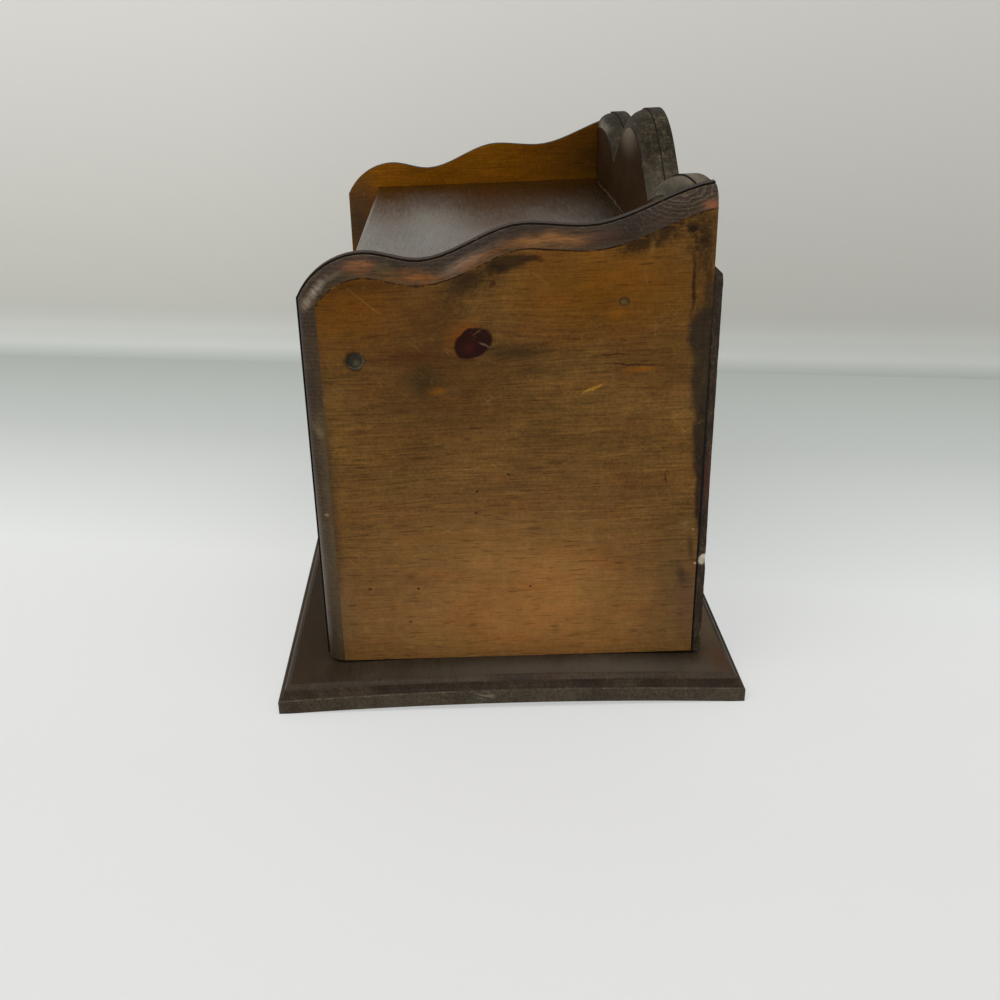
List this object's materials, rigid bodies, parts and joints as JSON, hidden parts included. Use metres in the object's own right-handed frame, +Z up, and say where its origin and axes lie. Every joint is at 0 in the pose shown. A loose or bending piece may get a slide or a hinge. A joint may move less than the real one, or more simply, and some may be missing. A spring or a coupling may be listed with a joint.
{
  "type": "bread box",
  "caption": "Stained pine bread box with scrolled moulded side panels, a shelf with an arched gallery on top, and a lift-up front door hung on dowels.",
  "frame": {"origin": "on the table under the middle of the base board", "axes": "+X along the width towards the right side panel as seen from the front, -Y towards the front, +Z up"},
  "size_m": [0.507, 0.312, 0.3562],
  "materials": {
    "honey_stained_pine": "satin, worn stain with knots",
    "dark_stained_pine": "satin, dark worn stain",
    "brown_stained_board": "matt, dark stain",
    "dowel_wood": "satin, stained",
    "fastener_steel": "dull"
  },
  "bodies": {
    "case": {"base_board": "dark_stained_pine", "right_side_panel": "honey_stained_pine", "left_side_panel": "honey_stained_pine", "top_shelf": "dark_stained_pine", "back_gallery": "dark_stained_pine", "back_panel": "brown_stained_board", "door_stop": "brown_stained_board", "base_screws": "fastener_steel", "gallery_screws": "fastener_steel", "back_panel_nails": "fastener_steel", "stop_brads": "fastener_steel"},
    "door": {"front_door": "honey_stained_pine", "right_pivot_dowel": "dowel_wood", "left_pivot_dowel": "dowel_wood", "door_knob": "dowel_wood", "knob_screw": "fastener_steel"}
  },
  "joints": [
    {"name": "door_hinge", "type": "hinge", "parent": "case", "child": "door", "pos_m": [0, -0.0903, 0.2337], "axis": [-1, 0, 0], "range_deg": [0, 135]}
  ]
}
